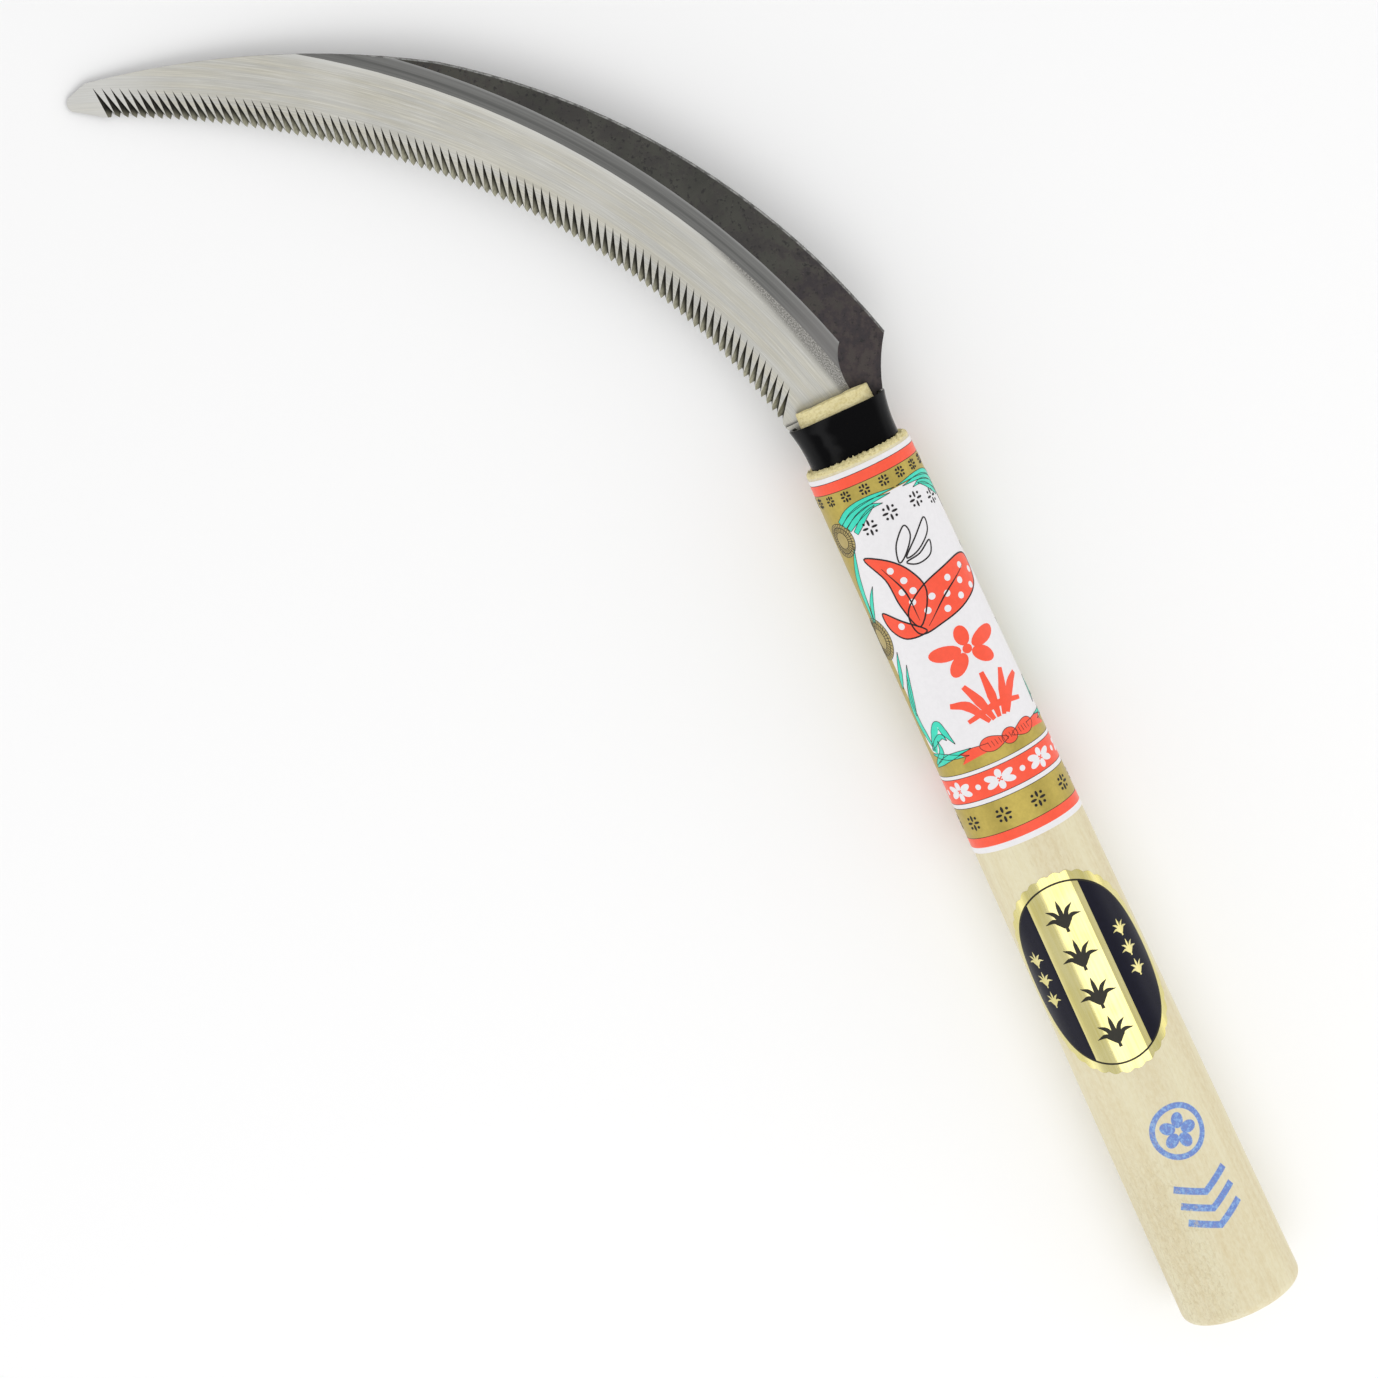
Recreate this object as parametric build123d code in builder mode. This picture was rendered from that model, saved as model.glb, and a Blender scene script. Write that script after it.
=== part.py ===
from build123d import *

import os
from math import asin, cos, degrees, radians, sin

# A saw-toothed hand sickle: a forged blade held in a tapered wooden handle. Units are millimetres.
# +X runs along the handle axis toward the blade, +Y is the side that the blade curves to, and +Z is up.
# The origin is on the handle axis, at the shoulder where the wood is necked down to enter the ferrule.
# The sickle lies as it rests on a flat surface, on the butt's underside and the blade's tip.

# Handle
handle_length = 225.0
butt_radius = 15.05
shoulder_radius = 12.75
shoulder_chamfer = 0.5
butt_dome = 4.0
butt_corner_rise = 0.9
butt_corner_inset = 2.8

# Neck and tongues: the front of the handle, split by the kerf. Sections are width, height and corner radius.
tongue_reach = 13.9
tongue_section = (18.0, 10.2, 3.6)
neck_section = (19.6, 14.0, 6.4)
neck_overlap = 1.0

# Ferrule: a thin collar, oval behind and flattened in front, with a section at each distance from the shoulder
ferrule_sections = ((0, (22.0, 16.4, 7.6)), (5.2, (22.3, 14.7, 6.8)), (10.55, (24.2, 13.0, 5.8)))
ferrule_wall = 0.85
ferrule_rim_radius = 0.3

# Blade: its outline is drawn in a plane through the handle axis, u along the handle and v toward the tip
blade_thickness = 2.2
tip_reach = 131.4
heel_edge_centre = (-24.0, 178.0)
heel_edge_radius = 169.4
tip_edge_radius = 226.3
edge_heel_angle = -77.7
edge_join_angle = -45.15
edge_tip_angle = -24.3
spine_kink = (121.3, 49.7)
spine_end = (150.8, 125.6)
heel_corner = (22.7, -17.6)
tip_spine_radius = 210.9
heel_spine_radius = 178.8
heel_curve_radius = 40.0
spine_chamfer = 0.35
blade_shoulder = 10.85
blade_half_width = 11.8

# The ground side: a shallow bevel along the edge, then a steeper hollow up to the spine's flat
grind_centre = (-34.8, 196.4)
grind_radius = 190.4
edge_thickness = 0.7
bevel_width = 17.6
bevel_thickness = 1.5
hollow_width = 4.1
tang_pad_end = 11.8

# Teeth: each gap is a slanting groove in the ground side and a notch through the edge.
# Their places are measured from a tooth's point, x along the edge toward the heel and y into the blade.
first_tooth = 2.55
tooth_count = 88
heel_tooth_count = 47
heel_tooth_pitch = 2.035
tip_tooth_pitch = 1.965
groove_start = (-3.93, 6.6)
notch_root = (0.25, 1.15)
notch_front_lean = 0.22
notch_back_lean = 1.48
groove_near_slope = 28.6
groove_far_slope = 70.0
groove_height = 1.1

# Tang and its cross pin
tang_step = 0.1
tang_step_at = 14.4
tang_shoulder_width = 20.6
tang_root_width = 12.0
tang_end_width = 8.0
tang_length = 52.0
tang_corner = 2.0
pin_at = -25.0
pin_radius = 1.5
pin_clearance = 0.05
pin_inset = 0.5

# Paper wrap and foil seal
paper_thickness = 0.12
paper_start = -1.65
paper_end = -97.5
foil_thickness = 0.08
seal_centre = -132.4
seal_half_length = 24.9
seal_half_girth = 18.9
seal_turn = -6.0
scallop_count = 40
scallop_depth = 0.55

os.makedirs("parts", exist_ok=True)

# The blade's flat back faces down. The blade leans until its tip is as low as the butt's underside.
lie_angle = degrees(asin((butt_radius - blade_thickness / 2) / tip_reach))
blade_plane = Plane.XY.rotated((-lie_angle, 0, 0))
back = blade_plane.offset(-blade_thickness / 2)

# The sections of the neck and the ferrule face the blade, with their width in the blade's plane.
front = Plane(origin=(0, 0, 0), x_dir=blade_plane.y_dir, z_dir=(1, 0, 0))


def handle_radius(x):
    """The handle's radius at x: it widens evenly from the shoulder to the butt."""
    return shoulder_radius + (butt_radius - shoulder_radius) * -x / (handle_length - butt_dome)


def on_circle(centre, radius, angle):
    """A point on a circle, with its angle in degrees from +X."""
    return (centre[0] + radius * cos(radians(angle)), centre[1] + radius * sin(radians(angle)))


# The toothed edge is two arcs that meet smoothly, so both centres lie on one line through the join.
tip_edge_centre = on_circle(heel_edge_centre, heel_edge_radius - tip_edge_radius, edge_join_angle)
heel_arc_length = radians(edge_join_angle - edge_heel_angle) * heel_edge_radius


def tooth_place(number):
    """The place of a tooth's point, counted from the heel. The teeth near the heel stand a little further apart."""
    heel_steps = min(number, heel_tooth_count - 1)
    distance = first_tooth + heel_tooth_pitch * heel_steps + tip_tooth_pitch * (number - heel_steps)
    if distance < heel_arc_length:
        centre, radius = heel_edge_centre, heel_edge_radius
        angle = edge_heel_angle + degrees(distance / radius)
    else:
        centre, radius = tip_edge_centre, tip_edge_radius
        angle = edge_join_angle + degrees((distance - heel_arc_length) / radius)
    return Location((*on_circle(centre, radius, angle), 0), (0, 0, angle - 90))


def wrap_point(girth, along):
    """A point of the seal's outline seen from above, from its place on the flat foil."""
    x = seal_centre + along
    radius = handle_radius(x)
    return (x, radius * sin(girth / radius))


def seal_point(angle, reach):
    """A point of the seal's outline at an angle in degrees, moved out from its oval by reach."""
    return wrap_point(
        (seal_half_girth + reach) * sin(radians(angle)), (seal_half_length + reach) * cos(radians(angle))
    )


def skin_section(start, end, thickness):
    """The half section of a thin skin on the handle from start to end, to be turned round its axis."""
    return [
        (start, handle_radius(start)),
        (end, handle_radius(end)),
        (end, handle_radius(end) + thickness),
        (start, handle_radius(start) + thickness),
    ]


# Tang: drawn once, because the handle's mortise has the same outline
with BuildSketch() as tang_outline:
    with BuildLine():
        Polyline(
            (blade_shoulder + 1, tang_shoulder_width / 2),
            (blade_shoulder, tang_shoulder_width / 2),
            (0, tang_root_width / 2),
            (-tang_length, tang_end_width / 2),
            (-tang_length, -tang_end_width / 2),
            (0, -tang_root_width / 2),
            (blade_shoulder, -tang_shoulder_width / 2),
            (blade_shoulder + 1, -tang_shoulder_width / 2),
            close=True,
        )
    make_face()
    fillet(tang_outline.vertices().group_by(Axis.X)[0], tang_corner)

# Metal ground off the blade's upper side, with the pad by the tang left at full thickness
with BuildPart() as grind:
    with BuildSketch(Plane.XZ.offset(-grind_centre[1])):
        with BuildLine():
            edge_at = grind_centre[0] + grind_radius
            bevel_slope = (bevel_thickness - edge_thickness) / bevel_width
            below_edge = 4.0
            Polyline(
                (edge_at - below_edge, edge_thickness - bevel_slope * below_edge),
                (edge_at + bevel_width, bevel_thickness),
                (edge_at + bevel_width + hollow_width, blade_thickness),
                (edge_at + bevel_width + hollow_width, 2 * blade_thickness),
                (edge_at - below_edge, 2 * blade_thickness),
                close=True,
            )
        make_face()
    revolve(axis=Axis((*grind_centre, 0), (0, 0, 1)))
    with BuildSketch():
        with BuildLine():
            Spline((26.2, -8.9), (24.3, -6.8), (21.0, -5.2), (17.2, -4.7), (tang_pad_end, -5.2))
            Polyline((tang_pad_end, -5.2), (tang_pad_end, 20), (-60, 20), (-60, -30), (30, -30), (26.2, -8.9))
        make_face()
    extrude(amount=3 * blade_thickness, mode=Mode.SUBTRACT)

# The gap in front of a tooth's point: a tilted V groove that ends in a notch through the edge
with BuildPart() as tooth_gap:
    start_height = edge_thickness + (bevel_thickness - edge_thickness) / bevel_width * groove_start[1]
    groove_top = Vector(*groove_start, start_height)
    groove_run = Vector(*notch_root, 0) - groove_top
    with BuildSketch(Plane(groove_top, x_dir=(-groove_run.Y, groove_run.X, 0), z_dir=groove_run).offset(-1)):
        with BuildLine():
            Polyline(
                (0, 0),
                (groove_height / sin(radians(groove_far_slope)) * cos(radians(groove_far_slope)), groove_height),
                (-groove_height / sin(radians(groove_near_slope)) * cos(radians(groove_near_slope)), groove_height),
                close=True,
            )
        make_face()
    extrude(amount=groove_run.length + 3.5)
    with BuildSketch(Plane.XY.offset(-blade_thickness / 2)):
        with BuildLine():
            Polyline(
                notch_root,
                (-notch_front_lean, -1),
                (tip_tooth_pitch + notch_back_lean, -1),
                close=True,
            )
        make_face()
    extrude(amount=2 * blade_thickness)

# Blade: one forging with its tang
with BuildPart(back) as blade:
    with BuildSketch(back):
        with BuildLine():
            RadiusArc(spine_end, spine_kink, tip_spine_radius)
            RadiusArc(spine_kink, heel_corner, heel_spine_radius)
            RadiusArc(heel_corner, (blade_shoulder, -blade_half_width), -heel_curve_radius)
            heel_edge = CenterArc(
                heel_edge_centre, heel_edge_radius, edge_heel_angle, edge_join_angle - edge_heel_angle
            )
            tip_edge = CenterArc(tip_edge_centre, tip_edge_radius, edge_join_angle, edge_tip_angle - edge_join_angle)
            Polyline((blade_shoulder, -blade_half_width), (blade_shoulder, blade_half_width), heel_edge @ 0)
            Spline(tip_edge @ 1, (144.0, 127.7), (146.1, 130.9))
            ThreePointArc((146.1, 130.9), (148.0, 131.5), (149.5, 130.1))
            Line((149.5, 130.1), spine_end)
        make_face()
    extrude(amount=blade_thickness)
    upper_edges = blade.edges().group_by(Axis(back.origin, back.z_dir))[-1]
    spine_arcs = upper_edges.filter_by(GeomType.CIRCLE).sort_by(SortBy.RADIUS)[-3:-1]
    chamfer(spine_arcs, spine_chamfer)
    add(grind.part, mode=Mode.SUBTRACT)
    with Locations([tooth_place(number) for number in range(tooth_count)]):
        add(tooth_gap.part, mode=Mode.SUBTRACT)
    with BuildSketch(back.offset(tang_step)):
        add(tang_outline.sketch)
    extrude(amount=blade_thickness - tang_step)
    with BuildSketch(back):
        with Locations((0, 0)):
            Rectangle(2 * tang_step_at, 4 * blade_half_width)
    extrude(amount=tang_step, mode=Mode.SUBTRACT)
    with Locations((pin_at, 0)):
        Hole(pin_radius + pin_clearance)
blade.part.label = "blade"
export_step(blade.part, "parts/blade.step")

# Handle: turned wood, necked down in front and split by the kerf into two tongues
with BuildPart() as handle:
    with BuildSketch(Plane.XZ):
        with BuildLine():
            Polyline((0, 0), (0, shoulder_radius), (butt_dome - handle_length, butt_radius))
            Spline(
                (butt_dome - handle_length, butt_radius),
                (butt_corner_rise - handle_length, butt_radius - butt_corner_inset),
                (-handle_length, 0),
                tangents=[(-1, 0), (0, -1)],
            )
            Line((-handle_length, 0), (0, 0))
        make_face()
    revolve(axis=Axis.X)
    chamfer(handle.edges().filter_by(GeomType.CIRCLE).sort_by(Axis.X)[-1], shoulder_chamfer)
    with BuildSketch(front.offset(-neck_overlap)):
        RectangleRounded(*neck_section)
    with BuildSketch(front.offset(tongue_reach)):
        RectangleRounded(*tongue_section)
    loft()
    with BuildSketch(back.offset(tang_step)):
        add(tang_outline.sketch)
        with Locations((tongue_reach / 2, 0)):
            Rectangle(tongue_reach, 2 * blade_half_width)
    extrude(amount=blade_thickness - tang_step, mode=Mode.SUBTRACT)
    with Locations(blade_plane.offset(butt_radius) * Location((pin_at, 0, 0))):
        Hole(pin_radius + pin_clearance)
handle.part.label = "handle"
export_step(handle.part, "parts/handle.step")

# Ferrule: a sheet-steel collar, oval where it meets the shoulder and flattened where it grips the tongues
with BuildPart() as ferrule:
    for wall, mode in ((0, Mode.ADD), (ferrule_wall, Mode.SUBTRACT)):
        for distance, (width, height, corner) in ferrule_sections:
            with BuildSketch(front.offset(distance)):
                RectangleRounded(width - 2 * wall, height - 2 * wall, corner - wall)
        loft(mode=mode)
    fillet(ferrule.edges().group_by(Axis.X)[-1], ferrule_rim_radius)
ferrule.part.label = "ferrule"
export_step(ferrule.part, "parts/ferrule.step")

# Cross pin: a nail through the wood and the tang, hidden by the paper wrap
with BuildPart() as tang_pin:
    with BuildSketch(blade_plane):
        with Locations((pin_at, 0)):
            Circle(pin_radius)
    extrude(amount=handle_radius(pin_at) - pin_inset, both=True)
tang_pin.part.label = "tang_pin"
export_step(tang_pin.part, "parts/tang_pin.step")

# Paper wrap: one turn of paper round the front of the handle
with BuildPart() as paper_label:
    with BuildSketch(Plane.XZ):
        with BuildLine():
            Polyline(*skin_section(paper_start, paper_end, paper_thickness), close=True)
        make_face()
    revolve(axis=Axis.X)
paper_label.part.label = "paper_label"
export_step(paper_label.part, "parts/paper_label.step")

# Foil seal: a scalloped oval of foil laid over the handle behind the paper wrap
with BuildPart() as foil_seal:
    seal_start = seal_centre + seal_half_length + scallop_depth
    seal_end = seal_centre - seal_half_length - scallop_depth
    with BuildSketch(Plane.XZ):
        with BuildLine():
            Polyline(*skin_section(seal_start, seal_end, foil_thickness), close=True)
        make_face()
    revolve(axis=Axis.X)
    with BuildSketch(Plane.XY.rotated((seal_turn, 0, 0))):
        with BuildLine():
            step = 360 / scallop_count
            for number in range(scallop_count):
                angle = number * step
                ThreePointArc(
                    seal_point(angle, 0), seal_point(angle + step / 2, scallop_depth), seal_point(angle + step, 0)
                )
        make_face()
    extrude(amount=2 * butt_radius, mode=Mode.INTERSECT)
foil_seal.part.label = "foil_seal"
export_step(foil_seal.part, "parts/foil_seal.step")
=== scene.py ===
from math import asin, atan2, cos, exp, hypot, pi, radians, sin

import bmesh
import bpy
import numpy as np
from mathutils import Matrix, Vector
from mathutils.geometry import delaunay_2d_cdt


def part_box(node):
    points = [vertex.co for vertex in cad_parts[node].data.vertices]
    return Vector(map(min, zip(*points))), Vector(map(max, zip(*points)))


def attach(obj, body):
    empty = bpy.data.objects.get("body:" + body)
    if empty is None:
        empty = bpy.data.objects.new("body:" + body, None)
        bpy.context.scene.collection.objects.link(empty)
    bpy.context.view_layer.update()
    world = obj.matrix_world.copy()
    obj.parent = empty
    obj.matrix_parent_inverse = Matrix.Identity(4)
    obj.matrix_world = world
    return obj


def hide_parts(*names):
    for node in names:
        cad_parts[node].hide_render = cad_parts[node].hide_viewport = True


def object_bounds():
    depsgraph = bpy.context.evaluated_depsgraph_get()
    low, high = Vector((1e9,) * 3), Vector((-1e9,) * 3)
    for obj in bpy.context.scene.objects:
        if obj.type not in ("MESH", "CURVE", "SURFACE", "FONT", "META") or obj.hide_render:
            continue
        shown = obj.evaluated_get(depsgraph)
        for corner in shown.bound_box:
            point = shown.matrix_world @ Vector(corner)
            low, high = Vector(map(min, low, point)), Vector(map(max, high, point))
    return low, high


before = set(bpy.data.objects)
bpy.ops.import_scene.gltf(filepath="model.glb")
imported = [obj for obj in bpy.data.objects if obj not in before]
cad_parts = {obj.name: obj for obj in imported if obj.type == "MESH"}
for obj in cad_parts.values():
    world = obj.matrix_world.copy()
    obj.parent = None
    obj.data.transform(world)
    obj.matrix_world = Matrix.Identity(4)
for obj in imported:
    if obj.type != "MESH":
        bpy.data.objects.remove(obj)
cad_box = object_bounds()
random_state = np.random.default_rng(7)

MM = 0.001
PALE_BLUE = (0.27, 0.43, 0.70)
ROOT = "root"

# Sizes that the CAD part fixes, read back from its nodes.
handle_low, handle_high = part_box("handle")
label_low, label_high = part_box("paper_label")
seal_low, seal_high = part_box("foil_seal")
ferrule_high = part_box("ferrule")[1]

BUTT_X = handle_low.x
TONGUE_X = handle_high.x
BUTT_RADIUS = handle_high.z
SHOULDER_RADIUS = 12.75 * MM
BUTT_DOME = 4.0 * MM
FERRULE_LENGTH = ferrule_high.x
LABEL_START = label_high.x
LABEL_LENGTH = label_high.x - label_low.x
SEAL_CENTRE = (seal_low.x + seal_high.x) / 2
BLADE_THICKNESS = 2.2 * MM
TIP_REACH = 131.4 * MM
LIE_ANGLE = asin((BUTT_RADIUS - BLADE_THICKNESS / 2) / TIP_REACH)

# The blade's ground surfaces are cones about one axis. Heights are measured outward from the toothed edge.
GRIND_CENTRE = (-34.8 * MM, 196.4 * MM)
GRIND_RADIUS = 190.4 * MM
BEVEL_WIDTH = 17.6
HOLLOW_END = 21.7
# Height of the painted shadow line that runs along the hollow.
DARK_STREAK = 19.25
PAD_EDGE = -4.0


def handle_radius(x):
    """The handle's radius at x, in metres."""
    return SHOULDER_RADIUS + (BUTT_RADIUS - SHOULDER_RADIUS) * x / (BUTT_X + BUTT_DOME)


# ---------------------------------------------------------------- materials


class Material:
    """A procedural material. Its methods add nodes and return their output sockets."""

    def __init__(self, name, **shader):
        self.material = bpy.data.materials.new(name)
        self.material.use_nodes = True
        self.tree = self.material.node_tree
        self.shader = self.tree.nodes["Principled BSDF"]
        for socket, value in shader.items():
            self.set(socket.replace("_", " "), value)

    def set(self, socket, value):
        """Gives a shader input a value or a socket to follow."""
        self.feed(self.shader.inputs[socket], value)

    def feed(self, socket, value):
        if isinstance(value, bpy.types.NodeSocket):
            self.tree.links.new(value, socket)
        elif isinstance(value, tuple) and len(value) == 3 and socket.type == "RGBA":
            socket.default_value = (*value, 1)
        else:
            socket.default_value = value

    def add(self, kind, inputs=(), **settings):
        node = self.tree.nodes.new("ShaderNode" + kind)
        for name, value in settings.items():
            setattr(node, name, value)
        for name, value in dict(inputs).items():
            self.feed(node.inputs[name], value)
        return node

    def math(self, operation, *values, clamp=False):
        node = self.add("Math", operation=operation, use_clamp=clamp)
        for socket, value in zip(node.inputs, values):
            self.feed(socket, value)
        return node.outputs[0]

    def position(self, scale=1000):
        """The row frame's position in millimetres."""
        place = self.add("TexCoord").outputs["Object"]
        return self.add("VectorMath", {0: place, "Scale": scale}, operation="SCALE").outputs[0]

    def separate(self, vector):
        return self.add("SeparateXYZ", {0: vector}).outputs

    def combine(self, x, y, z):
        return self.add("CombineXYZ", {0: x, 1: y, 2: z}).outputs[0]

    def stretch(self, vector, scale):
        return self.add("VectorMath", {0: vector, 1: scale}, operation="MULTIPLY").outputs[0]

    def noise(self, vector, scale=1.0, detail=2.0, roughness=0.5, distortion=0.0):
        inputs = {
            "Vector": vector,
            "Scale": scale,
            "Detail": detail,
            "Roughness": roughness,
            "Distortion": distortion,
        }
        return self.add("TexNoise", inputs).outputs["Fac"]

    def ramp(self, value, low, high, start=0.0, end=1.0):
        """Runs smoothly from start to end as value runs from low to high."""
        inputs = {"Value": value, "From Min": low, "From Max": high, "To Min": start, "To Max": end}
        return self.add("MapRange", inputs, interpolation_type="SMOOTHSTEP").outputs[0]

    def mix(self, factor, first, second):
        """Mixes two colours. The node serves other data too, so the colour sockets are taken by number."""
        node = self.add("Mix", data_type="RGBA")
        for number, value in ((0, factor), (6, first), (7, second)):
            self.feed(node.inputs[number], value)
        return node.outputs[2]

    def bump(self, height, distance, strength=1.0):
        """Raises the surface by height times distance, which is in metres."""
        inputs = {"Height": height, "Distance": distance, "Strength": strength}
        self.set("Normal", self.add("Bump", inputs).outputs[0])

    def along_blade(self):
        """Places on the blade, in millimetres.

        They run along the arc, outward from the toothed edge, and up from the back.
        """
        inputs = {"Vector": self.position(), "Angle": LIE_ANGLE}
        turned = self.add("VectorRotate", inputs, rotation_type="X_AXIS")
        centre = (GRIND_CENTRE[0] / MM, GRIND_CENTRE[1] / MM, -BLADE_THICKNESS / 2 / MM)
        local = self.add("VectorMath", {0: turned.outputs[0], 1: centre}, operation="SUBTRACT").outputs[0]
        x, y, height = self.separate(local)[:3]
        flat = self.combine(x, y, 0.0)
        radius = self.add("VectorMath", {0: flat}, operation="LENGTH").outputs["Value"]
        along = self.math("MULTIPLY", self.math("ARCTAN2", y, x), GRIND_RADIUS / MM)
        return along, self.math("SUBTRACT", radius, GRIND_RADIUS / MM), height

    def drawn_out(self, along, across, scales, third, detail, roughness, scale=1.0):
        """Noise on the blade, with a scale of its own along the arc and another across it."""
        x = self.math("MULTIPLY", along, scales[0])
        y = self.math("MULTIPLY", across, scales[1])
        return self.noise(self.combine(x, y, third), scale, detail, roughness)


def ground_steel():
    """Bright steel ground in fine lines along the blade. Its upper edge is sandy near the heel."""
    m = Material("ground_steel", Metallic=1.0, Roughness=0.33)
    along, across, height = m.along_blade()
    lines = m.drawn_out(along, across, (0.06, 3.2), 0.0, 5, 0.8)
    bands = m.drawn_out(along, across, (0.02, 0.5), 3.0, 3, 0.55)
    clouds = m.noise(m.combine(along, across, 0.0), 0.05, 2, 0.5)
    steel = m.mix(m.ramp(bands, 0.35, 0.65), (0.615, 0.61, 0.57), (0.645, 0.62, 0.525))
    steel = m.mix(m.ramp(lines, 0.40, 0.68, 0.0, 0.55), steel, (0.42, 0.41, 0.37))
    steel = m.mix(m.ramp(lines, 0.48, 0.34, 0.0, 0.6), steel, (0.80, 0.79, 0.75))
    steel = m.mix(m.ramp(clouds, 0.4, 0.7, 0.0, 0.3), steel, (0.73, 0.72, 0.67))
    rim = m.ramp(across, BEVEL_WIDTH - 2.2, BEVEL_WIDTH - 0.1, 0.0, 0.5)
    steel = m.mix(rim, steel, (0.78, 0.78, 0.76))
    # Painted shade: the ground steel is darkened toward the heel.
    steel = m.mix(m.ramp(along, -165.0, -215.0, 0.0, 0.22), steel, (0.34, 0.335, 0.31))
    # Painted light: the ground steel is brightened toward the nose.
    steel = m.mix(m.ramp(along, -94.0, -72.0, 0.0, 0.5), steel, (0.84, 0.84, 0.82))
    grit = m.noise(m.combine(along, m.math("MULTIPLY", across, 1.6), 0.0), 2.6, 4, 0.85)
    heel = m.ramp(along, -192.0, -248.0)
    strip_low = m.math("SUBTRACT", BEVEL_WIDTH, m.math("MULTIPLY_ADD", heel, 3.6, 0.3))
    ragged = m.math("MULTIPLY_ADD", m.math("SUBTRACT", grit, 0.5), 4.5, across)
    strip = m.ramp(ragged, strip_low, m.math("ADD", strip_low, 1.6))
    speckle = m.ramp(grit, 0.40, 0.62)
    sandy = m.mix(speckle, (0.15, 0.145, 0.135), (0.46, 0.45, 0.42))
    steel = m.mix(m.math("MULTIPLY", strip, m.ramp(heel, 0.05, 0.4)), steel, sandy)
    m.set("Base Color", steel)
    m.bump(lines, 0.004 * MM)
    return m.material


def hollow_steel():
    """The hollow between the bevel and the spine: duller steel with long streaks."""
    m = Material("hollow_steel", Metallic=0.9, Roughness=0.42)
    along, across, height = m.along_blade()
    streaks = m.drawn_out(along, across, (0.03, 2.6), 1.0, 4, 0.6)
    grey = m.mix(m.ramp(streaks, 0.3, 0.7), (0.125, 0.126, 0.122), (0.180, 0.180, 0.173))
    # Painted shadow: a thin dark line along the hollow, just beyond the bevel.
    shade = m.ramp(m.math("ABSOLUTE", m.math("SUBTRACT", across, DARK_STREAK)), 0.55, 0.1, 0.0, 0.45)
    grey = m.mix(shade, grey, (0.075, 0.075, 0.073))
    # Painted light: the hollow lightens toward the ridge.
    paler = m.ramp(across, DARK_STREAK + 0.3, DARK_STREAK + 1.2, 0.0, 0.25)
    grey = m.mix(paler, grey, (0.22, 0.22, 0.215))
    # Painted light: the hollow is lightened toward the heel.
    grey = m.mix(m.ramp(along, -222.0, -244.0, 0.0, 0.4), grey, (0.26, 0.25, 0.245))
    # Painted highlight: a light line along the ridge at the hollow's end.
    ridge = m.ramp(across, HOLLOW_END - 0.7, HOLLOW_END - 0.1, 0.0, 0.7)
    m.set("Base Color", m.mix(ridge, grey, (0.30, 0.30, 0.295)))
    m.bump(streaks, 0.006 * MM)
    return m.material


def forged_steel():
    """The spine's dark forge skin, greenish grey, browner toward the heel, with pits and rubbed spots."""
    m = Material("forged_steel", Metallic=0.35, Roughness=0.46)
    place = m.position()
    clouds = m.noise(place, 0.06, 4, 0.6)
    blotches = m.noise(place, 0.22, 4, 0.65)
    pits = m.noise(place, 0.9, 4, 0.65)
    specks = m.noise(place, 2.6, 3, 0.7)
    skin = m.mix(m.ramp(clouds, 0.35, 0.65), (0.033, 0.033, 0.027), (0.052, 0.051, 0.042))
    x, y = m.separate(place)[:2]
    heel = m.math("ADD", m.ramp(x, 66.0, 18.0), m.ramp(blotches, 0.4, 0.6, -0.4, 0.4), clamp=True)
    brown = m.mix(m.ramp(blotches, 0.42, 0.6), (0.052, 0.036, 0.036), (0.029, 0.023, 0.026))
    skin = m.mix(heel, skin, brown)
    rusty = m.math("MULTIPLY", m.ramp(specks, 0.58, 0.66), m.ramp(y, 30.0, 62.0))
    skin = m.mix(rusty, skin, (0.085, 0.050, 0.028))
    skin = m.mix(m.ramp(pits, 0.565, 0.65, 0.0, 0.85), skin, (0.012, 0.011, 0.011))
    skin = m.mix(m.ramp(specks, 0.66, 0.74, 0.0, 0.6), skin, (0.17, 0.15, 0.13))
    m.set("Base Color", skin)
    m.set("Roughness", m.ramp(clouds, 0.3, 0.7, 0.40, 0.55))
    m.bump(m.math("ADD", m.ramp(pits, 0.45, 0.72, 1.0, 0.0), specks), 0.05 * MM, 0.6)
    return m.material


def rubbed_steel():
    """The spine's outer edge, rubbed to grey steel."""
    m = Material("rubbed_steel", Metallic=0.8, Roughness=0.4)
    place = m.position()
    wear = m.noise(place, 0.5, 4, 0.7)
    m.set("Base Color", m.mix(m.ramp(wear, 0.4, 0.62), (0.09, 0.09, 0.085), (0.30, 0.30, 0.29)))
    m.bump(wear, 0.01 * MM)
    return m.material


def groove_steel():
    """The steep walls of the tooth grooves, painted nearly black for the shade inside the grooves."""
    m = Material("groove_steel", Metallic=0.6, Roughness=0.5)
    along, across, height = m.along_blade()
    marks = m.drawn_out(along, across, (2.0, 0.6), height, 3, 0.6, 1.5)
    m.set("Base Color", m.mix(m.ramp(marks, 0.3, 0.7), (0.014, 0.013, 0.011), (0.035, 0.033, 0.026)))
    return m.material


def groove_floor_steel():
    """The sloping floor of a tooth groove: painted shade makes it dark at its inner end, and a painted
    reflection makes it olive grey toward the tooth's point.
    """
    m = Material("groove_floor_steel", Metallic=0.85, Roughness=0.42)
    along, across, height = m.along_blade()
    marks = m.drawn_out(along, across, (1.5, 0.5), height, 3, 0.6, 1.5)
    inward = m.math("ADD", across, m.ramp(along, -130.0, -80.0, 0.0, 1.6))
    # Painted shade at the inner end, painted reflection toward the tooth's point.
    floor = m.mix(m.ramp(inward, 4.0, 0.5), (0.020, 0.019, 0.016), (0.42, 0.405, 0.30))
    m.set("Base Color", m.mix(m.ramp(marks, 0.35, 0.7, 0.0, 0.45), floor, (0.07, 0.066, 0.05)))
    return m.material


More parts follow.
